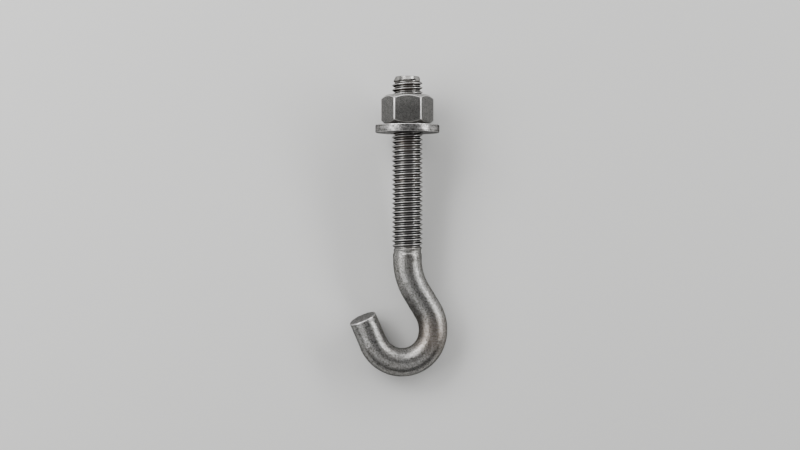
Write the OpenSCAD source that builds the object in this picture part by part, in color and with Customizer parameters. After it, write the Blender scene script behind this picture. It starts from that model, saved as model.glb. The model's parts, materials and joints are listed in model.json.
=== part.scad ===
// J-bolt: a round bar bent into an offset hook, threaded at the other end, with its hex nut and washer.
// Millimetres. It lies on its side as it comes to rest: on the washer's rim and the underside of the hook.

/* [Thread] */
// Major diameter of the thread
thread_d = 12.7; // [12.4:0.1:14]
// Threads per inch of length
threads_per_inch = 13; // [10:1:16]
// Length from the plain shank to the end face
thread_len = 73.2; // [55:0.1:110]
// Diameter of the neck where the thread runs out
neck_d = 11.3; // [11:0.1:11.7]
// Turns over which the thread fades into the neck
runout_turns = 1.5; // [1:0.5:4]
// Turn of the thread round the bolt
thread_start = 202; // [0:1:359]
// Diameter of the flat end face inside its chamfer
end_face_d = 9.6; // [7:0.1:10]
// Angle between the end's chamfer and the axis
end_chamfer_angle = 27; // [20:1:45]

/* [Bar] */
// Diameter of the bar
bar_d = 12; // [11:0.1:12.6]
// Straight plain shank between the thread and the first bend
shank_len = 2.6; // [2:0.1:30]
// How much the bar draws thinner in a bend, and again in the tight part of the hook
bend_thinning = 0.1; // [0.06:0.01:0.3]

/* [Hook] */
// Centreline radius of the first bend, away from the hook's mouth
offset_bend_r = 25.7; // [14:0.1:40]
// Angle of the first bend
offset_bend_angle = 31.2; // [15:0.1:45]
// Straight length that slopes out to the hook
slope_len = 9; // [4:0.1:25]
// Centreline radius where the hook begins
hook_entry_r = 15.6; // [12:0.1:24]
// Angle turned at that radius
hook_entry_angle = 47.2; // [30:0.1:70]
// Centreline radius of the rest of the hook
hook_r = 12.8; // [11:0.1:24]
// Angle turned at that radius
hook_angle = 140.5; // [110:0.1:150]
// Straight length up to the cut end
tip_len = 11.7; // [6:0.1:25]
// Diameter of that length, drawn thinner than the hook
tip_d = 11.6; // [11:0.1:11.7]
// Slant of the cut end
tip_cut_angle = 11; // [0:1:20]
// Width of the broken edge round the cut end
tip_edge = 0.5; // [0.2:0.1:1.5]

/* [Nut] */
// Width across flats
nut_af = 19.05; // [18:0.05:24]
// Height
nut_h = 12.25; // [9:0.05:16]
// Diameter of the flat bearing circle at each end
nut_face_d = 16; // [15.5:0.1:18.6]
// Angle of the chamfer that leaves the bearing circle
nut_chamfer_angle = 36; // [20:1:45]
// Diameter of the countersink at each end of the hole
countersink_d = 13.6; // [13.4:0.1:15]
// Radial gap between the nut's thread and the bolt's
thread_gap = 0.15; // [0.12:0.01:0.2]
// Thread left standing above the nut
protrusion = 7.65; // [3:0.05:30]

/* [Washer] */
// Outer diameter
washer_d = 26.6; // [24:0.1:34]
// Diameter of the hole
washer_hole_d = 13.5; // [13.2:0.1:15]
// Thickness
washer_t = 3.3; // [1.5:0.1:5]
// Width of the broken edges
washer_edge = 0.35; // [0.1:0.05:0.7]
// Gap between the nut and the washer
seat_gap = 0.1; // [0.08:0.01:0.2]

/* [Hidden] */
$fn = 96;
inch = 25.4;
thread_sides = 24;

// Unified thread form: 60 degree flanks, the crest cut off at an eighth of the pitch.
pitch = inch / threads_per_inch;
flank_angle = 30;
thread_depth = 0.6134 * pitch;
crest_flat = pitch / 8;
flank_run = thread_depth * tan(flank_angle);
root_flat = pitch - crest_flat - 2 * flank_run;
thread_r = thread_d / 2;
root_r = thread_r - thread_depth;
end_r = end_face_d / 2;
row_margin = 0.05;
tip_r = tip_d / 2;
// How far each length of the bar runs into the next.
run_in = 0.05;
bend_d = bar_d - bend_thinning;
hook_d = bend_d - bend_thinning;

// Centreline of the bend and the hook, in the plane x, z. The bolt's straight axis is x = 0 and the first bend
// starts at z = 0. A heading is an angle from straight down, counted towards +x.
function ahead(from, heading, len) = from + len * [sin(heading), -cos(heading)];
function centre_left(from, heading, r) = from - r * [cos(heading), sin(heading)];
function on_arc(centre, heading, r) = centre + r * [cos(heading), sin(heading)];
heading_slope = offset_bend_angle;
heading_mid = heading_slope - hook_entry_angle;
heading_tip = heading_mid - hook_angle;
offset_centre = [offset_bend_r, 0];
slope_start = offset_centre - offset_bend_r * [cos(heading_slope), sin(heading_slope)];
slope_end = ahead(slope_start, heading_slope, slope_len);
entry_centre = centre_left(slope_end, heading_slope, hook_entry_r);
hook_start = on_arc(entry_centre, heading_mid, hook_entry_r);
hook_centre = centre_left(hook_start, heading_mid, hook_r);
tip_start = on_arc(hook_centre, heading_tip, hook_r);
tip_end = ahead(tip_start, heading_tip, tip_len);

// Places along the straight axis.
thread_z = shank_len + 2 * row_margin;
end_z = shank_len + thread_len;
chamfer_z = end_z - (root_r - end_r) / tan(end_chamfer_angle);
nut_z = end_z - protrusion - nut_h;
washer_z = nut_z - seat_gap - washer_t;

// The resting place: the washer's rim and the bottom of the hook both touch the plane below.
washer_r = washer_d / 2;
hook_low_z = hook_centre[1] - hook_r;
rest_span = washer_z + washer_edge - hook_low_z;
rest_tilt = acos(hook_d / 2 / norm([washer_r, rest_span])) - atan2(rest_span, washer_r);
rest_lift = hook_d / 2 - hook_low_z * sin(rest_tilt);

// The middle of the outline as it lies.
widest_x = heading_mid <= 0
    ? entry_centre[0] + hook_entry_r + bend_d / 2
    : hook_centre[0] + hook_r + hook_d / 2;
right_x = max(widest_x, washer_r);
tip_corner = ahead(tip_end, heading_tip, -tip_edge);
left_x = min(tip_corner[0] + tip_r * cos(heading_tip), -washer_r);
far_y = end_z * cos(rest_tilt) + end_r * sin(rest_tilt);
near_y = hook_low_z * cos(rest_tilt) - hook_d / 2;
middle = [(left_x + right_x) / 2, (far_y + near_y) / 2];

module lay_down() {
    translate([-middle[0], -middle[1], rest_lift])
        rotate([rest_tilt - 90, 0, 0])
            children();
}

// A solid with a helical ridge, as rings of points that climb one pitch a turn between plain rings.
// profile holds [share of the pitch, ridge height from 0 to 1]. shape(u, z, height) gives each point's radius and
// z, u turns along. low and high are plain rings [radius, z], from the bottom up.
module helical(z_from, turns, profile, shape, low, high) {
    n = thread_sides;
    per_turn = len(profile);
    rows = per_turn * turns;
    low_n = len(low);
    first = low_n;
    last = low_n + rows;
    column = last + 1 + len(high);
    function ring_point(k, ring) = [ring[0] * cos(360 * k / n), ring[0] * sin(360 * k / n), ring[1]];
    function row_point(k, i) =
        let (u = floor(i / per_turn) + k / n)
        let (form = profile[i % per_turn])
        let (z = z_from + (u + form[0]) * pitch)
        ring_point(k, shape(u, z, form[1]));
    function at(k, i) = k * column + i;
    points = [
        for (k = [0 : n - 1])
            each [
                for (ring = low) ring_point(k, ring),
                for (i = [0 : rows]) row_point(k, i),
                for (ring = high) ring_point(k, ring)
            ]
    ];
    // Beside the seam a column meets the one that stands a turn higher.
    seam_rows = [
        for (i = [0 : column - 2])
            if (i < low_n - 1 || (i >= first && i < last - per_turn) || i > last)
                i
    ];
    function across(i) = (i >= first && i <= last - per_turn) ? i + per_turn : i;
    function patch(a, b, c, d) = [[a, b, c], [a, c, d]];
    faces = [
        [for (k = [0 : n - 1]) at(k, 0)],
        [for (k = [n - 1 : -1 : 0]) at(k, column - 1)],
        for (k = [0 : n - 2])
            for (i = [0 : column - 2])
                each patch(at(k, i), at(k, i + 1), at(k + 1, i + 1), at(k + 1, i)),
        for (i = seam_rows)
            each patch(at(n - 1, i), at(n - 1, i + 1), at(0, across(i + 1)), at(0, across(i))),
        for (i = [first - 1 : first + per_turn - 1])
            [at(n - 1, first - 1), at(0, i + 1), at(0, i)],
        [at(n - 1, first - 1), at(n - 1, first), at(0, first + per_turn)],
        for (i = [last - per_turn : last])
            [at(0, last + 1), at(n - 1, i), at(n - 1, i + 1)],
        [at(0, last + 1), at(0, last), at(n - 1, last - per_turn)]
    ];
    polyhedron(points, faces, convexity = 10);
}

// The bolt's thread. It stands a hair inside the shank, and fades into the neck below. Above, the end's chamfer
// cuts it off, and the turns that are left lie squeezed together on that chamfer, up to the end face.
module thread() {
    neck_r = neck_d / 2;
    turns = ceil((chamfer_z - thread_z) / pitch);
    beyond = thread_z + (turns + 1) * pitch - chamfer_z;
    squeeze = (end_z - row_margin - chamfer_z) / beyond;
    chamfer = function (z) end_r + (end_z - z) * tan(end_chamfer_angle);
    fade = function (u) min(1, u / runout_turns);
    ridge = function (u, height) neck_r + (root_r + height * thread_depth - neck_r) * fade(u);
    settle = function (z) z < chamfer_z ? z : chamfer_z + (z - chamfer_z) * squeeze;
    shape = function (u, z, height) [min(chamfer(settle(z)), ridge(u, height)), settle(z)];
    rotate([0, 0, thread_start])
        helical(
            thread_z,
            turns,
            [
                [0, 0],
                [root_flat / pitch, 0],
                [(root_flat + flank_run) / pitch, 1],
                [(root_flat + flank_run + crest_flat) / pitch, 1]
            ],
            shape,
            [[neck_r, shank_len - run_in]],
            [[end_r, end_z]]
        );
}

// Sets its children at a point of the centreline, with z along the bar.
module along_bar(from, heading) {
    translate([from[0], 0, from[1]])
        rotate([0, 180 - heading, 0])
            children();
}

// A bend of the bar round a centre, from one direction seen from that centre to another, and a hair further at
// each end.
module bend(centre, r, d, from_angle, to_angle) {
    overlap = run_in / r * 180 / PI;
    translate([centre[0], 0, centre[1]])
        rotate([90, 0, 0])
            rotate([0, 0, from_angle - overlap])
                rotate_extrude(angle = to_angle - from_angle + 2 * overlap)
                    translate([r, 0])
                        circle(d = d);
}

// The straight end of the hook, from a hair inside the hook, sheared off at a slant and with its edge broken.
module tip() {
    slant_r = tip_r * (1 + 1 / cos(tip_cut_angle)) / 2 - tip_edge;
    reach = tip_len + tip_d;
    along_bar(tip_start, heading_tip)
        intersection() {
            translate([0, 0, -run_in])
                cylinder(d = tip_d, h = reach);
            translate([0, 0, tip_len])
                rotate([tip_cut_angle, 0, 0])
                    translate([0, 0, -reach])
                        cylinder(r1 = slant_r + reach, r2 = slant_r, h = reach);
        }
}

module bolt() {
    color("silver")
        lay_down() {
            thread();
            cylinder(d = bar_d, h = shank_len);
            bend(offset_centre, offset_bend_r, bend_d, 180, 180 + heading_slope);
            along_bar(slope_start, heading_slope)
                cylinder(d = bar_d, h = slope_len);
            bend(entry_centre, hook_entry_r, bend_d, heading_mid, heading_slope);
            bend(hook_centre, hook_r, hook_d, heading_tip, heading_mid);
            tip();
        }
}

module washer() {
    hole_r = washer_hole_d / 2;
    color("gainsboro")
        lay_down()
            translate([0, 0, washer_z])
                rotate_extrude()
                    polygon([
                        [hole_r + washer_edge, 0],
                        [washer_r - washer_edge, 0],
                        [washer_r, washer_edge],
                        [washer_r, washer_t - washer_edge],
                        [washer_r - washer_edge, washer_t],
                        [hole_r + washer_edge, washer_t],
                        [hole_r, washer_t - washer_edge],
                        [hole_r, washer_edge]
                    ]);
}

// The nut's hexagon, with its corners turned off at both ends.
module nut_blank() {
    corner_r = nut_af / 2 / cos(30);
    face_r = nut_face_d / 2;
    beyond = corner_r + 1;
    chamfer_h = (beyond - face_r) * tan(nut_chamfer_angle);
    intersection() {
        cylinder(r = corner_r, h = nut_h, $fn = 6);
        rotate_extrude()
            polygon([
                [0, 0],
                [face_r, 0],
                [beyond, chamfer_h],
                [beyond, nut_h - chamfer_h],
                [face_r, nut_h],
                [0, nut_h]
            ]);
    }
}

// The space inside the nut: the bolt's thread with its gap, opened by a countersink at each end. The thread runs
// on past both faces, where the countersinks have cut it away.
module nut_hole() {
    sink_r = countersink_d / 2;
    hole_r = thread_r + thread_gap;
    ridge_r = root_r + thread_gap;
    // The groove of the bolt, narrowed by the gap square to the flanks.
    groove = pitch - crest_flat + 2 * thread_gap * tan(flank_angle) - 2 * thread_gap / cos(flank_angle);
    top_width = groove - 2 * (hole_r - ridge_r) * tan(flank_angle);
    slope = (groove - top_width) / 2;
    z_from = -pitch - row_margin;
    turns = ceil((nut_h + 2 * row_margin) / pitch) + 2;
    z_to = z_from + (turns + 1) * pitch;
    sink = function (z) sink_r + max(-z, z - nut_h);
    shape = function (u, z, height) [max(hole_r - height * (hole_r - ridge_r), sink(z)), z];
    // The ridge stands in the middle of the bolt's groove.
    shift = (root_flat - groove) / 2 - (nut_z + z_from - thread_z);
    phase = shift / pitch - floor(shift / pitch);
    low_z = z_from - row_margin;
    high_z = z_to + row_margin;
    rotate([0, 0, thread_start - 360 * phase])
        helical(
            z_from,
            turns,
            [
                [0, 0],
                [slope / pitch, 1],
                [(slope + top_width) / pitch, 1],
                [groove / pitch, 0]
            ],
            shape,
            [[sink(low_z), low_z]],
            [[sink(high_z), high_z]]
        );
}

module nut() {
    color("darkgray")
        lay_down()
            translate([0, 0, nut_z])
                difference() {
                    nut_blank();
                    nut_hole();
                }
}

bolt();
washer();
nut();
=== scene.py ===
"""A j-bolt with its nut and washer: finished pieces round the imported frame, with a floor, lights and a camera."""

import json
import math

import bmesh
import bpy
from bpy.props import FloatProperty, FloatVectorProperty, IntProperty, PointerProperty
from mathutils import Euler, Matrix, Vector


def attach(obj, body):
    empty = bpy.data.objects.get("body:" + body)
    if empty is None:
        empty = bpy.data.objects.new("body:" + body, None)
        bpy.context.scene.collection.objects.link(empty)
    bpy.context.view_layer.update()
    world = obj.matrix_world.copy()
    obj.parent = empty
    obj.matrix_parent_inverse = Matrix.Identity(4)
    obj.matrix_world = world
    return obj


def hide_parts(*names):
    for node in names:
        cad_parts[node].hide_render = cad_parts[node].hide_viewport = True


bl_info = {
    "name": "J-bolt",
    "version": (1, 0, 0),
    "blender": (4, 5, 0),
    "location": "View3D > Sidebar > J-bolt",
    "description": "Makes a j-bolt with its nut and washer, and a small studio for it",
    "category": "Object",
}

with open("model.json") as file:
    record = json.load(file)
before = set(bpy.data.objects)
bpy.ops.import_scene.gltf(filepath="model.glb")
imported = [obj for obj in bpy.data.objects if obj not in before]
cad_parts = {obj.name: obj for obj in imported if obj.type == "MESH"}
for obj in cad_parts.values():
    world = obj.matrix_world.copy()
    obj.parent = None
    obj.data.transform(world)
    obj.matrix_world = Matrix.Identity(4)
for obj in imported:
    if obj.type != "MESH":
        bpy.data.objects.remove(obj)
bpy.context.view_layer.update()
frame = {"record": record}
MOUNTS = {mount["name"]: mount for mount in frame["record"]["mounts"]}
MM = 0.001

FLANK = math.radians(30)  # slant of a flank, from square to the bolt's axis
THREAD_DEPTH = 0.6134  # from root to crest, in pitches
BEND_STEP = 2.5  # degrees of a bend to one step
SHARP = math.radians(20)  # edges of the nut that turn by more than this are worn
SMOOTH = math.radians(35)  # edges that turn by less than this are shaded smooth
WASHER_STEPS = 144
TOOL_STEPS = 96  # steps round a disc or a cone that cuts the nut
TOOL_MARGIN = 1 * MM  # how far such a tool reaches past the nut
WELD = 0.002 * MM  # vertices that are nearer than this become one

# Heights and radii in mm, going down from the neck: the step where the die stopped, up to the full bar.
SHOULDER = ((2.75, 5.67), (2.6, 5.74), (2.45, 5.85), (2.25, 5.95))

# The bolt's own frame: z runs up the straight axis from the start of the first bend, x points to the side that
# the bar swings out to, and y away from the side that is seen.
END_Z = 75.8 * MM
AXIS = Vector(MOUNTS["thread_end"]["axis"])
ORIGIN = Vector(MOUNTS["thread_end"]["pos_m"]) - END_Z * AXIS
TILT = math.atan2(AXIS.z, AXIS.y)
LIE = Euler((TILT - math.pi / 2, 0, 0))
WASHER_Z = (Vector(MOUNTS["bearing_face"]["pos_m"]) - ORIGIN).dot(AXIS)


# ------------------------------------------------------------------------------------------------ sizes and colours


def length(name, description, default, high=1.0):
    """A length that a user may change, in metres."""
    return FloatProperty(
        name=name, description=description, default=default, min=0, max=high, unit="LENGTH", precision=5
    )


def angle(name, description, degrees):
    """An angle that a user may change, kept in radians."""
    return FloatProperty(
        name=name, description=description, default=math.radians(degrees), min=0, max=math.tau, unit="ROTATION"
    )


def share(name, description, default):
    """A value between 0 and 1."""
    return FloatProperty(name=name, description=description, default=default, min=0, max=1, subtype="FACTOR")


def colour(name, description, default):
    """A colour that a user may change."""
    return FloatVectorProperty(
        name=name, description=description, default=default, size=3, min=0, max=1, subtype="COLOR"
    )


class ThreadSizes(bpy.types.PropertyGroup):
    """The thread that the bolt and the nut share."""

    major_r: length("Crest radius", "Radius over the crests", 6.35 * MM)
    pitch: length("Pitch", "Distance from one crest to the next", 25.4 / 13 * MM)
    start: length("Start", "Height at which the ridge begins", 2.7 * MM)
    start_angle: angle("Start angle", "Direction in which the ridge begins", 202)
    gap: length("Gap", "Room between the nut's thread and the bolt's", 0.15 * MM)
    root_edge: length("Root rounding", "Reach of the rounding at the bolt's root", 0.14 * MM)
    crest_edge: length("Crest rounding", "Reach of the rounding at the bolt's crest", 0.11 * MM)
    nut_edge: length("Nut thread rounding", "Reach of the roundings in the nut's thread", 0.1 * MM)
    steps: IntProperty(name="Steps", description="Steps in one turn", default=80, min=16, max=128)


class BoltSizes(bpy.types.PropertyGroup):
    """The bar and its bends."""

    shoulder: length("Shoulder", "Height where the thread meets the neck", 2.9 * MM)
    run_out: length("Run-out", "Height where the ridge has its full depth", 6.4 * MM)
    neck_r: length("Neck radius", "Radius where the thread runs out", 5.65 * MM)
    end_r: length("End radius", "Radius of the end face", 4.8 * MM)
    end_chamfer: angle("End chamfer", "Angle between the end's chamfer and the axis", 27)
    end_edge: length("End rounding", "Rounding of the end face's rim", 0.3 * MM)
    bar_r: length("Bar radius", "Radius of the shank", 6.0 * MM)
    shank_top: length("Shank top", "Height where the shank has its full radius", 2.0 * MM)
    shank_end: length("Shank end", "Height where it starts to thin towards the first bend", 0.6 * MM)
    bend_r: length("Bent bar radius", "Radius of the bar in the first bends", 5.95 * MM)
    hook_bar_r: length("Hook bar radius", "Radius of the bar in the hook", 5.885 * MM)
    tip_r: length("Tip radius", "Radius of the bar at the cut end", 5.775 * MM)
    offset_r: length("First bend", "Centreline radius of the first bend", 25.7 * MM)
    offset_angle: angle("First bend angle", "How far the first bend turns", 31.2)
    slope: length("Slope", "Straight length that slopes out to the hook", 9.0 * MM)
    entry_r: length("Hook entry", "Centreline radius where the hook begins", 15.6 * MM)
    entry_angle: angle("Hook entry angle", "How far the bar turns at that radius", 47.2)
    hook_r: length("Hook", "Centreline radius of the rest of the hook", 12.8 * MM)
    hook_angle: angle("Hook angle", "How far the bar turns at that radius", 140.5)
    tip: length("Tip", "Straight length up to the cut end", 11.7 * MM)
    tip_taper: length("Tip taper", "Length over which the bar thins to the tip", 1.0 * MM)
    tip_cut: angle("Cut", "Slant of the cut end", 11)
    tip_edge: length("Cut rounding", "Rounding of the cut end's rim", 0.5 * MM)


class NutSizes(bpy.types.PropertyGroup):
    """The hex nut."""

    across_flats: length("Across flats", "Width across the flats", 19.05 * MM)
    height: length("Height", "Height of the nut", 12.25 * MM)
    face_r: length("Face radius", "Radius of the flat circle at each end", 8.75 * MM)
    chamfer: angle("Chamfer", "Angle of the chamfer that leaves that circle", 36)
    countersink_r: length("Countersink", "Radius of the countersink at each end", 6.8 * MM)
    corner: length("Corner", "How far the worn edges are cut back", 0.26 * MM)
    top: length("Top", "Height of the nut's upper face along the bolt", 68.15 * MM)


class WasherSizes(bpy.types.PropertyGroup):
    """The flat washer."""

    outer_r: length("Outer radius", "Radius over the rim", 13.298 * MM)
    hole_r: length("Hole radius", "Radius of the hole", 6.75 * MM)
    thickness: length("Thickness", "Thickness of the washer", 3.3 * MM)
    upper_edge: length("Upper edge", "Reach of the rounding at the rim's upper edge", 0.6 * MM)
    lower_edge: length("Lower edge", "Reach of the rounding at the rim's lower edge", 0.45 * MM)
    hole_edge: length("Hole edge", "Reach of the rounding at the hole's edges", 0.35 * MM)


class SteelLook(bpy.types.PropertyGroup):
    """The finish of the steel."""

    light: colour("Light steel", "Clean steel", (0.385, 0.38, 0.368))
    # The bright steel is also painted on as highlights: on the thread's crests, in specks on the bar, round the sawn
    # end, and on the nut's and the washer's worn edges.
    bright: colour("Bright steel", "Steel that is worn bright", (0.62, 0.61, 0.6))
    dark: colour("Dark steel", "Scaled and dulled steel", (0.06, 0.059, 0.056))
    brown: colour("Brown tinge", "Thin rust in the bends and the thread", (0.24, 0.17, 0.12))
    # The pits' colour also paints the shade on the thread's flanks and on the nut's lower chamfer.
    pit_and_shade: colour("Pits", "Pits and the flanks of the thread", (0.026, 0.021, 0.016))
    roughness: share("Roughness", "Roughness of the bar", 0.23)


class StudioLook(bpy.types.PropertyGroup):
    """The floor, the lights and the camera."""

    floor: colour("Floor", "Colour of the floor", (0.7, 0.7, 0.69))
    floor_roughness: share("Floor roughness", "Roughness of the floor", 0.8)
    surround: colour("Surround", "Colour of the room", (0.05, 0.05, 0.051))
    lens: FloatProperty(
        name="Focal length", description="Focal length of the camera", default=69.75, min=20, unit="CAMERA"
    )
    distance: length("Distance", "Distance of the camera from the bolt's plane", 0.643, high=5)
    aim_left: length("Aim to the left", "How far left of the bolt's axis the camera looks", 3.06 * MM)
    aim_up: length("Aim up", "Height up the bolt at which the camera looks", 14.27 * MM)


# ------------------------------------------------------------------------------------------------------- modelling


def clear_selection():
    """Leaves edit mode and lets go of everything."""
    if bpy.context.object and bpy.context.object.mode != "OBJECT":
        bpy.ops.object.mode_set(mode="OBJECT")
    bpy.ops.object.select_all(action="DESELECT")


def take(piece):
    """Selects one piece alone, in object mode."""
    clear_selection()
    piece.select_set(True)
    bpy.context.view_layer.objects.active = piece


def edit(piece, mode="VERT"):
    """Starts editing a piece with nothing on it selected."""
    take(piece)
    bpy.ops.object.mode_set(mode="EDIT")
    bpy.ops.mesh.select_mode(type=mode)
    bpy.ops.mesh.select_all(action="DESELECT")


def done():
    """Back to object mode."""
    bpy.ops.object.mode_set(mode="OBJECT")


def weld():
    """Joins the vertices of the piece in edit mode that touch."""
    bpy.ops.mesh.select_all(action="SELECT")
    bpy.ops.mesh.remove_doubles(threshold=WELD)


def face_outward():
    """Turns the faces of the piece in edit mode outward, and goes back to object mode."""
    bpy.ops.mesh.select_all(action="SELECT")
    bpy.ops.mesh.normals_make_consistent(inside=False)
    done()


def pick(piece, kind, test):
    """Selects, in edit mode, the verts, edges or faces that pass a test."""
    mesh = bmesh.from_edit_mesh(piece.data)
    found = [item for item in getattr(mesh, kind) if test(item)]
    if not found:
        raise RuntimeError(f"nothing to select on {piece.name}")
    for item in found:
        item.select_set(True)
    mesh.select_flush_mode()
    bmesh.update_edit_mesh(piece.data)


def trace(name, points):
    """Draws a line through points (x, z) in the plane y = 0, each vertex extruded from the last."""
    clear_selection()
    bpy.ops.mesh.primitive_plane_add(size=MM, location=(0, 0, 0))
    piece = bpy.context.object
    piece.name = piece.data.name = name
    edit(piece)
    bpy.ops.mesh.select_all(action="SELECT")
    bpy.ops.mesh.merge(type="CENTER")
    bpy.ops.transform.translate(value=(points[0][0], 0, points[0][1]))
    for (x0, z0), (x1, z1) in zip(points, points[1:]):
        bpy.ops.mesh.extrude_vertices_move(TRANSFORM_OT_translate={"value": (x1 - x0, 0, z1 - z0)})
    done()
    return piece


def rounded(points, reaches, steps=3):
    """Points (x, z) with the corners between the first and the last cut back by a reach, and rounded."""
    line = [points[0]]
    for before, corner, after, reach in zip(points, points[1:], points[2:], reaches):
        a, b, c = Vector(before), Vector(corner), Vector(after)
        start = b + (a - b).normalized() * reach
        end = b + (c - b).normalized() * reach
        for i in range(steps):
            t = i / (steps - 1)
            line.append(tuple(start * (1 - t) ** 2 + b * 2 * t * (1 - t) + end * t**2))
    return line + [points[-1]]


def turn(piece, steps, rise=0.0, turns=1):
    """Turns a traced line round the z axis, rising a little with every turn if it is a thread."""
    take(piece)
    bpy.ops.object.modifier_add(type="SCREW")
    screw = piece.modifiers[-1]
    screw.axis = "Z"
    screw.steps = screw.render_steps = steps
    screw.screw_offset = rise
    screw.iterations = turns
    bpy.ops.object.modifier_apply(modifier=screw.name)
    edit(piece)
    weld()
    face_outward()


def reshape(piece, place):
    """Moves every vertex to place(radius, z) round the z axis."""
    for vertex in piece.data.vertices:
        radius, z = place(vertex.co.xy.length, vertex.co.z)
        vertex.co.xy *= radius / vertex.co.xy.length
        vertex.co.z = z


def cut(piece, point, normal, fill, near=math.inf):
    """Cuts away what lies beyond a plane, in edit mode, within a distance, and may close the cut with a face."""
    bpy.ops.mesh.select_all(action="DESELECT")
    bpy.ops.mesh.select_mode(type="VERT")
    pick(piece, "verts", lambda v: (v.co - Vector(point)).length < near)
    bpy.ops.mesh.bisect(plane_co=point, plane_no=normal, use_fill=fill, clear_outer=True, threshold=1e-7)
    bpy.ops.mesh.select_all(action="SELECT")
    bpy.ops.mesh.delete_loose()


def on_plane(point, normal):
    """A test for faces that lie in a plane."""
    normal = Vector(normal).normalized()
    return lambda face: all(abs((v.co - Vector(point)).dot(normal)) < 1e-6 for v in face.verts)


def extrude(step, scale=1.0, centre=None):
    """Extrudes what is selected by a step, and scales the new edge about its centre."""
    bpy.ops.mesh.extrude_region_move(TRANSFORM_OT_translate={"value": step})
    if scale != 1.0:
        bpy.ops.transform.resize(value=(scale, scale, scale), center_override=centre)


def round_off(piece, point, normal, radius, edge, steps=4):
    """Rounds the rim of the flat end face at a point: the face rises and shrinks by a quarter circle."""
    normal = Vector(normal).normalized()
    bpy.ops.mesh.select_all(action="DESELECT")
    bpy.ops.mesh.select_mode(type="FACE")
    pick(piece, "faces", on_plane(point, normal))
    low, wide = 0.0, radius
    for i in range(1, steps + 1):
        turned = math.pi / 2 * i / steps
        high, narrow = edge * math.sin(turned), radius - edge * (1 - math.cos(turned))
        centre = Vector(point) + normal * high
        extrude(normal * (high - low), narrow / wide, centre)
        low, wide = high, narrow


def lay_down(piece, body, node):
    """Lays a finished piece down as the frame lies, and puts it in the place of its CAD node."""
    take(piece)
    piece.rotation_euler = LIE
    piece.location = ORIGIN
    bpy.ops.object.transform_apply(location=True, rotation=True, scale=True)
    bpy.ops.object.shade_smooth_by_angle(angle=SMOOTH)
    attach(piece, body)
    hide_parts(node)


def cut_with(piece, tool, operation):
    """Cuts a piece with a tool, or keeps what they share, and throws the tool away."""
    take(piece)
    bpy.ops.object.modifier_add(type="BOOLEAN")
    boolean = piece.modifiers[-1]
    boolean.operation = operation
    boolean.solver = "MANIFOLD"
    boolean.object = tool
    bpy.ops.object.modifier_apply(modifier=boolean.name)
    bpy.data.objects.remove(tool)


class Bar:
    """A bar under way in edit mode: its last ring is selected, and each stretch goes on from that ring."""

    def __init__(self):
        self.at = Vector((0, 0, 0))
        self.heading = 0.0

    def ahead(self):
        """The way the bar goes on: straight down at first, and towards +x as the heading grows."""
        return Vector((math.sin(self.heading), 0, -math.cos(self.heading)))

    def side(self):
        """Square to that, in the plane of the bends."""
        return Vector((math.cos(self.heading), 0, math.sin(self.heading)))

    def bend(self, radius, turned):
        """Spins the ring round a bend."""
        way = 1 if turned > 0 else -1
        centre = self.at + way * radius * self.side()
        steps = max(4, round(abs(math.degrees(turned)) / BEND_STEP))
        bpy.ops.mesh.spin(steps=steps, angle=abs(turned), center=centre, axis=(0, way, 0))
        self.heading += turned
        self.at = centre - way * radius * self.side()

    def straight(self, distance, scale=1.0):
        """Extrudes the ring straight on, and scales it at the end."""
        step = self.ahead() * distance
        self.at = self.at + step
        extrude(step, scale, self.at)


class ThreadForm:
    """The unified thread form for one pitch, from the middle of the root to the next."""

    def __init__(self, sizes):
        self.sizes = sizes
        self.pitch = sizes.pitch
        self.crest_r = sizes.major_r
        depth = THREAD_DEPTH * self.pitch
        self.root_r = self.crest_r - depth
        self.run = depth * math.tan(FLANK)
        self.crest = self.pitch / 8
        self.root = self.pitch - self.crest - 2 * self.run

    def bolt_line(self):
        """The bolt's side of it, rounded at the crest and more at the root."""
        crest_z = self.root + self.run
        corners = [
            (self.root_r, self.root / 2),
            (self.root_r, self.root),
            (self.crest_r, crest_z),
            (self.crest_r, crest_z + self.crest),
            (self.root_r, self.pitch),
            (self.root_r, self.root / 2 + self.pitch),
        ]
        root, crest = self.sizes.root_edge, self.sizes.crest_edge
        return rounded(corners, [root, crest, crest, root], steps=4)

    def nut_line(self):
        """The nut's side of it: the bolt's groove, narrowed by a gap square to the flanks."""
        gap = self.sizes.gap
        hole_r = self.crest_r + gap
        ridge_r = self.root_r + gap
        groove = self.pitch - self.crest + 2 * gap * math.tan(FLANK) - 2 * gap / math.cos(FLANK)
        run = (hole_r - ridge_r) * math.tan(FLANK)
        foot = (self.root - groove) / 2
        land = (self.pitch - groove) / 2
        corners = [
            (hole_r, foot - land),
            (hole_r, foot),
            (ridge_r, foot + run),
            (ridge_r, foot + groove - run),
            (hole_r, foot + groove),
            (hole_r, foot - land + self.pitch),
        ]
        return rounded(corners, [self.sizes.nut_edge] * 4)


def helix(name, line, sizes, low, high):
    """A thread's surface that covers heights from low to high, with its ragged ends beyond them."""
    first = math.floor((low - sizes.start) / sizes.pitch) - 1
    last = math.ceil((high - sizes.start) / sizes.pitch) + 1
    shift = sizes.start + first * sizes.pitch
    piece = trace(name, [(x, z + shift) for x, z in line])
    turn(piece, sizes.steps, rise=sizes.pitch, turns=last - first)
    piece.rotation_euler.z = sizes.start_angle
    bpy.ops.object.transform_apply(location=False, rotation=True, scale=False)
    return piece


def corner_radius(nut):
    """From the axis to a corner of the hexagon."""
    return nut.across_flats / 2 / math.cos(math.radians(30))


def smooth_step(low, high, value):
    """0 below low, 1 above high, and a smooth rise between them."""
    t = min(max((value - low) / (high - low), 0), 1)
    return t * t * (3 - 2 * t)


# -------------------------------------------------------------------------------------------------------- materials


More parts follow.
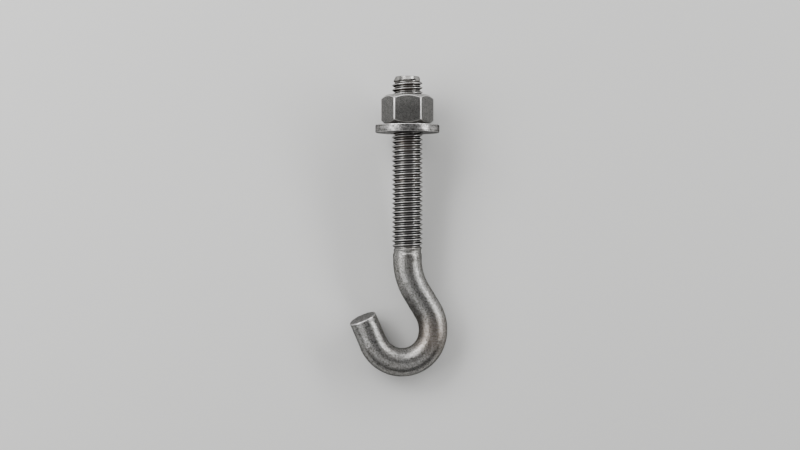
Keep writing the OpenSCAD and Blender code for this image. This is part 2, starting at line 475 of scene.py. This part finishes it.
class Number:
    """A shader socket that takes part in Python arithmetic."""

    def __init__(self, finish, socket):
        self.finish = finish
        self.socket = socket

    def maths(self, operation, *values):
        """One step of arithmetic on values or sockets."""
        node = self.finish.node("ShaderNodeMath", {"operation": operation}, dict(enumerate(values)))
        return Number(self.finish, node.outputs[0])

    def __add__(self, other):
        return self.maths("ADD", self, other)

    __radd__ = __add__

    def __sub__(self, other):
        return self.maths("SUBTRACT", self, other)

    def __rsub__(self, other):
        return self.maths("SUBTRACT", other, self)

    def __mul__(self, other):
        return self.maths("MULTIPLY", self, other)

    __rmul__ = __mul__

    def __truediv__(self, other):
        return self.maths("DIVIDE", self, other)

    def __pow__(self, other):
        return self.maths("POWER", self, other)

    def away_from(self, value):
        """How far it is from a value."""
        return self.maths("ABSOLUTE", self - value)

    def most(self, other):
        """The greater of two."""
        return self.maths("MAXIMUM", self, other)

    def above(self, low, high):
        """0 below low and 1 above high, with a smooth rise between."""
        node = self.finish.node(
            "ShaderNodeMapRange",
            {"interpolation_type": "SMOOTHSTEP"},
            {"Value": self, "From Min": low, "From Max": high},
        )
        return Number(self.finish, node.outputs["Result"])

    def below(self, low, high):
        """1 below low and 0 above high."""
        return 1 - self.above(low, high)


class Finish:
    """A material under way, with patterns in millimetres in the bolt's own frame.

    rim is how bright the steel stays at grazing angles.
    """

    def __init__(self, name, rim=0.2):
        self.material = bpy.data.materials.new(name)
        self.material.use_nodes = True
        self.tree = self.material.node_tree
        self.shader = self.tree.nodes["Principled BSDF"]
        self.shader.inputs["Metallic"].default_value = 1.0
        self.shader.inputs["Specular Tint"].default_value = (rim, rim, rim, 1)
        coordinates = self.node("ShaderNodeTexCoord")
        self.place = self.node(
            "ShaderNodeMapping",
            {"vector_type": "TEXTURE"},
            {"Vector": coordinates.outputs["Object"], "Location": ORIGIN, "Rotation": LIE, "Scale": (MM, MM, MM)},
        ).outputs[0]
        parts = self.node("ShaderNodeSeparateXYZ", {}, {0: self.place})
        self.x, self.y, self.z = (Number(self, parts.outputs[i]) for i in range(3))
        self.radius = (self.x * self.x + self.y * self.y) ** 0.5

    def node(self, kind, settings=None, sockets=None):
        """A node of a type, with its settings and the values or links of its sockets."""
        node = self.tree.nodes.new(kind)
        for key, value in (settings or {}).items():
            setattr(node, key, value)
        for key, value in (sockets or {}).items():
            if isinstance(value, Number):
                value = value.socket
            if isinstance(value, bpy.types.NodeSocket):
                self.tree.links.new(value, node.inputs[key])
            else:
                node.inputs[key].default_value = value
        return node

    def along(self, direction, origin=(0, 0, 0)):
        """How far a place lies along a direction from an origin."""
        direction = Vector(direction)
        return self.x * direction.x + self.y * direction.y + self.z * direction.z - direction.dot(Vector(origin))

    def near(self, point, low, high):
        """1 within a low distance of a point and 0 past a high one."""
        x, y, z = self.x - point[0], self.y - point[1], self.z - point[2]
        return ((x * x + y * y + z * z) ** 0.5).below(low, high)

    def stretched(self, scale):
        """The place, stretched along the axes of the bolt's frame."""
        node = self.node("ShaderNodeMapping", {"vector_type": "POINT"}, {"Vector": self.place, "Scale": scale})
        return node.outputs[0]

    def noise(self, size, detail, roughness=0.6, place=None):
        """Cloudy noise from about 0 to 1 with features of a size in millimetres."""
        node = self.node(
            "ShaderNodeTexNoise",
            {"noise_dimensions": "3D"},
            {"Vector": place or self.place, "Scale": 1 / size, "Detail": detail, "Roughness": roughness},
        )
        return Number(self, node.outputs["Fac"])

    def cells(self, size):
        """Distance from the middle of the nearest random cell, and that cell's random value."""
        node = self.node("ShaderNodeTexVoronoi", {}, {"Vector": self.place, "Scale": 1 / size})
        value = self.node("ShaderNodeSeparateColor", {}, {0: node.outputs["Color"]})
        return Number(self, node.outputs["Distance"]), Number(self, value.outputs[0])

    def mix(self, share, first, second):
        """A colour between two colours."""
        node = self.node("ShaderNodeMix", {"data_type": "RGBA"}, {"Factor": share})
        for name, value in (("A", first), ("B", second)):
            socket = [s for s in node.inputs if s.name == name and s.type == "RGBA"][0]
            if isinstance(value, bpy.types.NodeSocket):
                self.tree.links.new(value, socket)
            else:
                socket.default_value = (*value, 1)
        return [s for s in node.outputs if s.type == "RGBA"][0]

    def finish(self, base, roughness, height, depth):
        """Sets the shader's colour, roughness and relief, and returns the material. depth is in metres."""
        bump = self.node("ShaderNodeBump", {}, {"Strength": 1.0, "Distance": depth, "Height": height})
        for key, value in (("Base Color", base), ("Roughness", roughness.socket), ("Normal", bump.outputs[0])):
            self.tree.links.new(value, self.shader.inputs[key])
        return self.material


def bolt_finish(look, thread, end, square, across):
    """Hot-rolled bar with scale, pits and a brown tinge, its thread's flanks painted dark as shade, and its sawn end.

    The sawn end lies at a point, square to one direction, with its marks running across in another.
    """
    steel = Finish("bolt_steel")
    blotch = steel.noise(1.9, detail=5, roughness=0.75)
    speck = steel.noise(0.65, detail=4, roughness=0.75)
    cloud = steel.noise(14, detail=2)
    distance, chance = steel.cells(1.6)
    pits = distance.below(0.1, 0.2) * chance.above(0.55, 0.75)
    on_thread = steel.z.above(3.2, 5.2)

    # The bar, with its brown tinge at the inside of the hook.
    dulled = blotch.above(0.4, 0.62) * 0.3 + speck.above(0.44, 0.6) * 0.55
    bar = steel.mix(dulled * (1 - on_thread), look.light, look.dark)
    # Specks of bright steel: part of the grain, and painted in to stand for glints in the highlights.
    bar = steel.mix(speck.below(0.34, 0.44) * (1 - on_thread) * 0.7, bar, look.bright)
    rust = steel.near((9, -4, -31), 2, 13) * 0.5 + cloud.above(0.45, 0.65) * 0.1
    bar = steel.mix(rust * 0.7, bar, look.brown)
    bar = steel.mix(pits * (1 - on_thread) * 0.85, bar, look.pit_and_shade)

    # The thread, by how high a place stands between the root and the crest. Its flanks are painted near black as
    # shade, brown with rust in places.
    form = ThreadForm(thread)
    root, crest = form.root_r / MM, form.crest_r / MM
    height = (steel.radius - root) / (crest - root)
    flank = (height.above(0.04, 0.2) * 0.7 + 0.3) * height.below(0.55, 0.88)
    flank_shade = flank * steel.z.above(3.2, 6.6) * steel.z.below(73.3, 74.2)
    # The crests are painted lighter: bright worn steel, and a painted highlight along each crest.
    crown = height.above(0.75, 0.95) * on_thread
    bar = steel.mix(crown * 0.65, bar, look.bright)
    shade_and_rust = steel.mix(cloud.above(0.5, 0.65) * 0.3, look.pit_and_shade, look.brown)
    bar = steel.mix(flank_shade * 0.95, bar, shade_and_rust)

    # The sawn end, and a band round its rounded rim painted bright as a highlight.
    at_end = steel.near(end, 7.5, 8.0)
    beyond = steel.along(square, end)
    sawn = beyond.above(-0.12, -0.04) * at_end
    edge = beyond.above(-0.7, -0.4) * at_end * (1 - sawn)
    marks = steel.node("ShaderNodeCombineXYZ", {}, {0: steel.along(across) * 0.25, 1: steel.y, 2: 0.0}).outputs[0]
    saw = steel.noise(0.35, detail=3, roughness=0.6, place=marks)
    bar = steel.mix(edge, bar, look.bright)
    sawn_steel = steel.mix(saw.above(0.4, 0.6) * 0.4 + speck.above(0.42, 0.58) * 0.35, look.bright, look.dark)
    bar = steel.mix(sawn, bar, sawn_steel)

    # The thread is duller than the bar, a little less at its very end, and has no relief of its own.
    roughness = look.roughness + (blotch * 0.15 + pits * 0.3) * (1 - on_thread) + on_thread * 0.12
    roughness = roughness - steel.z.above(73, 73.8) * 0.08
    grain = (blotch * 0.6 + speck * 2.2 - pits * 1.6) * (1 - on_thread)
    return steel.finish(bar, roughness, grain * (1 - sawn) + sawn * saw * 1.2, 0.05 * MM)


def washer_finish(look, washer):
    """Stamped washer: mottled faces, a rim with streaks round it and dents, bright worn edges that also stand for
    painted highlights, and painted shade beside them.
    """
    steel = Finish("washer_steel")
    blotch = steel.noise(1.5, detail=5, roughness=0.7)
    speck = steel.noise(0.6, detail=3, roughness=0.7)
    streak = steel.noise(0.5, detail=4, roughness=0.7, place=steel.stretched((0.15, 0.15, 1)))

    # Worn edges round the rim, the lower one less, painted bright also as highlights, and a dark line of painted
    # shade next to each.
    low, half = WASHER_Z / MM, washer.thickness / 2 / MM
    from_middle = steel.z.away_from(low + half)
    rim_r = washer.outer_r / MM
    worn = from_middle.above(half - 0.5, half - 0.25) * from_middle.below(half - 0.14, half - 0.04)
    worn = worn * steel.radius.above(rim_r - 0.4, rim_r - 0.2)
    worn = worn * (1 - steel.z.below(low, low + half) * 0.55)
    line = from_middle.above(half - 0.95, half - 0.75) * from_middle.below(half - 0.6, half - 0.45)

    dull = blotch.above(0.44, 0.56) * 0.3 + speck.above(0.46, 0.56) * 0.3 + streak.above(0.47, 0.56) * 0.25
    dull = (dull + line * 0.35 + 0.12) * (1 - worn)
    grey = steel.mix(dull, look.bright, look.dark)
    roughness = look.roughness + blotch * 0.15
    return steel.finish(grey, roughness, blotch * 0.8 + speck * 1.0 + streak * 1.4, 0.05 * MM)


def nut_finish(look, nut):
    """Matt grey flats with a fine grain, bright worn corners that also stand for painted highlights, and machined
    chamfers, the lower one painted dark as the shade under the nut.
    """
    steel = Finish("nut_steel", rim=0.9)
    blotch = steel.noise(1.6, detail=6, roughness=0.75)
    grain = steel.noise(0.5, detail=3, roughness=0.7)

    # up is how far a place stands past the cone of the nearer chamfer.
    corner_r, half = corner_radius(nut) / MM, nut.height / 2 / MM
    middle = nut.top / MM - half
    up = steel.z.away_from(middle) + (steel.radius - nut.face_r / MM) * math.tan(nut.chamfer) - half
    machined = up.above(-0.2, 0)
    lower = steel.z.below(middle - 1, middle)
    # The worn corners and chamfer edges are bright steel, lightened further as painted highlights along them.
    corner = steel.radius.above(corner_r - 0.3, corner_r - 0.14)
    worn = corner.most(up.above(-0.32, -0.18) * up.below(-0.1, 0) * (1 - lower * 0.7))

    dull = 0.62 + blotch.above(0.4, 0.6) * 0.12 + grain.above(0.4, 0.6) * 0.2
    grey = steel.mix(dull * (1 - machined * 0.8), look.light, look.dark)
    grey = steel.mix(worn, grey, look.bright)
    # The lower chamfer is painted near black as the shade between the nut and the washer.
    grey = steel.mix(up.above(-0.1, 0.1) * lower * 0.9, grey, look.pit_and_shade)
    roughness = look.roughness + 0.15 + blotch * 0.15 - worn * 0.16
    return steel.finish(grey, roughness, blotch * 0.2 + grain * 0.8, 0.03 * MM)


# -------------------------------------------------------------------------------------------------------- operators


class JBOLT_OT_bolt(bpy.types.Operator):
    """Turns the thread, draws the bar on from it, bends the hook and cuts its end"""

    bl_idname = "object.jbolt_bolt"
    bl_label = "Bolt"

    def execute(self, context):
        thread, sizes = context.scene.jbolt_thread, context.scene.jbolt_bolt
        slope = math.tan(sizes.end_chamfer)

        def place(radius, z):
            """Fades the ridge out towards the neck, and chamfers it at the end."""
            grown = smooth_step(sizes.shoulder, sizes.run_out, z)
            radius = sizes.neck_r + (radius - sizes.neck_r) * grown
            return min(radius, sizes.end_r + (END_Z - z) * slope), z

        # The thread, from its end face down to the shoulder.
        piece = helix("bolt_piece", ThreadForm(thread).bolt_line(), thread, sizes.shoulder, END_Z)
        reshape(piece, place)
        edit(piece)
        rim = (0, 0, END_Z - sizes.end_edge)
        cut(piece, rim, (0, 0, 1), True)
        round_off(piece, rim, (0, 0, 1), sizes.end_r + sizes.end_edge * slope, sizes.end_edge)
        cut(piece, (0, 0, sizes.shoulder), (0, 0, -1), False)
        bpy.ops.mesh.select_all(action="DESELECT")
        bpy.ops.mesh.select_mode(type="EDGE")
        pick(piece, "edges", lambda e: e.is_boundary)

        # The shoulder, the shank and the taper into the first bend.
        rings = [(z_mm * MM, radius_mm * MM) for z_mm, radius_mm in SHOULDER]
        rings += [(sizes.shank_top, sizes.bar_r), (sizes.shank_end, sizes.bar_r), (0.0, sizes.bend_r)]
        z, radius = sizes.shoulder, sizes.neck_r
        for next_z, next_radius in rings:
            extrude((0, 0, next_z - z), next_radius / radius, (0, 0, next_z))
            z, radius = next_z, next_radius

        # The bends and the tip, which runs on past its length for the cut.
        bar = Bar()
        bar.bend(sizes.offset_r, sizes.offset_angle)
        bar.straight(sizes.slope)
        bar.bend(sizes.entry_r, -sizes.entry_angle)
        bpy.ops.transform.resize(value=(sizes.hook_bar_r / sizes.bend_r,) * 3, center_override=bar.at)
        bar.bend(sizes.hook_r, -sizes.hook_angle)
        bar.straight(sizes.tip_taper, sizes.tip_r / sizes.hook_bar_r)
        bar.straight(sizes.tip - sizes.tip_taper + sizes.tip_r)
        end = bar.at - bar.ahead() * sizes.tip_r
        square = Matrix.Rotation(-sizes.tip_cut, 3, bar.side()) @ bar.ahead()
        rim = end - square * sizes.tip_edge
        cut(piece, rim, square, True, near=sizes.tip + sizes.tip_r)
        round_off(piece, rim, square, sizes.tip_r, sizes.tip_edge)
        weld()
        face_outward()
        finish = bolt_finish(context.scene.jbolt_steel, thread, end / MM, square, bar.side())
        piece.data.materials.append(finish)
        lay_down(piece, "bolt", "bolt")
        return {"FINISHED"}


class JBOLT_OT_washer(bpy.types.Operator):
    """Turns the flat washer, with its edges rounded as a stamping's are"""

    bl_idname = "object.jbolt_washer"
    bl_label = "Washer"

    def execute(self, context):
        sizes = context.scene.jbolt_washer
        low, high = WASHER_Z, WASHER_Z + sizes.thickness
        middle = (low + high) / 2
        corners = [
            (sizes.outer_r, middle),
            (sizes.outer_r, high),
            (sizes.hole_r, high),
            (sizes.hole_r, low),
            (sizes.outer_r, low),
            (sizes.outer_r, middle),
        ]
        edges = [sizes.upper_edge, sizes.hole_edge, sizes.hole_edge, sizes.lower_edge]
        piece = trace("washer_piece", rounded(corners, edges, steps=6))
        turn(piece, WASHER_STEPS)
        piece.data.materials.append(washer_finish(context.scene.jbolt_steel, sizes))
        lay_down(piece, "washer", "washer")
        return {"FINISHED"}


class JBOLT_OT_nut(bpy.types.Operator):
    """Shapes the hex nut, chamfers both ends, and cuts its thread"""

    bl_idname = "object.jbolt_nut"
    bl_label = "Nut"

    def execute(self, context):
        thread, sizes = context.scene.jbolt_thread, context.scene.jbolt_nut
        low, high = sizes.top - sizes.height, sizes.top
        middle = (low + high) / 2
        corner_r = corner_radius(sizes)
        clear_selection()
        bpy.ops.mesh.primitive_cylinder_add(
            vertices=6,
            radius=corner_r,
            depth=sizes.height,
            location=(0, 0, middle),
            rotation=(0, 0, math.radians(30)),
        )
        piece = context.object
        piece.name = piece.data.name = "nut_piece"
        bpy.ops.object.transform_apply(location=True, rotation=True, scale=True)

        # A disc with conical edges keeps what the chamfers leave of the hexagon, and then all its edges are worn.
        beyond = corner_r + TOOL_MARGIN
        drop = (beyond - sizes.face_r) * math.tan(sizes.chamfer)
        line = [(0, low), (sizes.face_r, low), (beyond, low + drop)]
        line += [(beyond, high - drop), (sizes.face_r, high), (0, high)]
        disc = trace("nut_disc", line)
        turn(disc, TOOL_STEPS)
        cut_with(piece, disc, "INTERSECT")
        edit(piece, "EDGE")
        pick(piece, "edges", lambda e: e.calc_face_angle() > SHARP)
        bpy.ops.mesh.bevel(offset=sizes.corner, offset_type="OFFSET", segments=4, profile=0.35, clamp_overlap=False)
        done()

        # The thread, with a countersink at each end.
        hole = helix("nut_hole", ThreadForm(thread).nut_line(), thread, low - TOOL_MARGIN, high + TOOL_MARGIN)
        edit(hole)
        cut(hole, (0, 0, high + TOOL_MARGIN), (0, 0, 1), True)
        cut(hole, (0, 0, low - TOOL_MARGIN), (0, 0, -1), True)
        face_outward()
        cut_with(piece, hole, "DIFFERENCE")
        for face_z, way in ((high, 1), (low, -1)):
            wide_z = face_z + way * TOOL_MARGIN
            line = [(0, face_z - way * sizes.countersink_r), (sizes.countersink_r + TOOL_MARGIN, wide_z), (0, wide_z)]
            cone = trace("nut_countersink", line)
            turn(cone, TOOL_STEPS)
            cut_with(piece, cone, "DIFFERENCE")
        piece.data.materials.clear()
        piece.data.materials.append(nut_finish(context.scene.jbolt_steel, sizes))
        lay_down(piece, "nut", "nut")
        return {"FINISHED"}


class JBOLT_OT_stage(bpy.types.Operator):
    """Lays the floor, hangs the lights and sets up the camera"""

    bl_idname = "object.jbolt_stage"
    bl_label = "Studio"

    def execute(self, context):
        look = context.scene.jbolt_studio
        clear_selection()
        bpy.ops.mesh.primitive_plane_add(size=3, location=(0, 0, 0))
        floor = context.object
        floor.name = floor.data.name = "floor"
        paint = bpy.data.materials.new("floor_paint")
        paint.use_nodes = True
        shader = paint.node_tree.nodes["Principled BSDF"]
        shader.inputs["Base Color"].default_value = (*look.floor, 1)
        shader.inputs["Roughness"].default_value = look.floor_roughness
        floor.data.materials.append(paint)

        world = bpy.data.worlds.new("room")
        world.use_nodes = True
        world.node_tree.nodes["Background"].inputs[0].default_value = (*look.surround, 1)
        context.scene.world = world

        # Name, place, width and height, and brightness. Each lamp faces the bolt.
        lamps = [
            ("left_box", (-0.58, 0.1, 0.45), (0.85, 0.44), 3.6),
            ("corner_box", (-0.42, 0.42, 0.43), (0.5, 0.3), 6.0),
            ("right_box", (0.67, 0.3, 0.36), (1.2, 0.15), 12.0),
            ("far_box", (0.0, 0.5, 0.6), (0.9, 0.6), 0.9),
            ("far_strip", (0.0, 0.67, 0.34), (0.5, 0.12), 3.0),
            ("near_box", (0.0, -0.43, 0.61), (0.9, 0.6), 0.75),
        ]
        for name, place, size, glow in lamps:
            bpy.ops.object.light_add(type="AREA", location=place)
            lamp = context.object
            lamp.name = lamp.data.name = name
            lamp.data.shape = "RECTANGLE"
            lamp.data.size, lamp.data.size_y = size
            lamp.data.energy = glow * math.pi * size[0] * size[1]
            lamp.rotation_euler = (-Vector(place)).to_track_quat("-Z", "Y").to_euler()

        # The camera looks square at the plane of the bend.
        stand = Vector((-look.aim_left, -look.distance, look.aim_up))
        bpy.ops.object.camera_add(location=Matrix.LocRotScale(ORIGIN, LIE, None) @ stand, rotation=(TILT, 0, 0))
        camera = context.object
        camera.name = camera.data.name = "camera"
        camera.data.lens = look.lens
        camera.data.sensor_width = 36
        camera.data.clip_start = 0.01
        context.scene.camera = camera
        return {"FINISHED"}


class JBOLT_PT_panel(bpy.types.Panel):
    """The pieces of the j-bolt"""

    bl_idname = "JBOLT_PT_panel"
    bl_label = "J-bolt"
    bl_space_type = "VIEW_3D"
    bl_region_type = "UI"
    bl_category = "J-bolt"

    def draw(self, context):
        for operator in OPERATORS:
            self.layout.operator(operator.bl_idname)
        for name in GROUPS:
            box = self.layout.box()
            group = getattr(context.scene, name)
            box.label(text=group.bl_rna.name)
            for key in group.bl_rna.properties.keys():
                if key not in ("name", "rna_type"):
                    box.prop(group, key)


OPERATORS = (JBOLT_OT_bolt, JBOLT_OT_washer, JBOLT_OT_nut, JBOLT_OT_stage)
GROUPS = {
    "jbolt_thread": ThreadSizes,
    "jbolt_bolt": BoltSizes,
    "jbolt_nut": NutSizes,
    "jbolt_washer": WasherSizes,
    "jbolt_steel": SteelLook,
    "jbolt_studio": StudioLook,
}


def register():
    for group in (*GROUPS.values(), *OPERATORS, JBOLT_PT_panel):
        bpy.utils.register_class(group)
    for name, group in GROUPS.items():
        setattr(bpy.types.Scene, name, PointerProperty(type=group))


def unregister():
    for name in GROUPS:
        delattr(bpy.types.Scene, name)
    for group in (JBOLT_PT_panel, *reversed(OPERATORS), *reversed(GROUPS.values())):
        bpy.utils.unregister_class(group)


def main():
    register()
    bpy.ops.object.jbolt_bolt()
    bpy.ops.object.jbolt_washer()
    bpy.ops.object.jbolt_nut()
    bpy.ops.object.jbolt_stage()


if __name__ == "__main__":
    main()
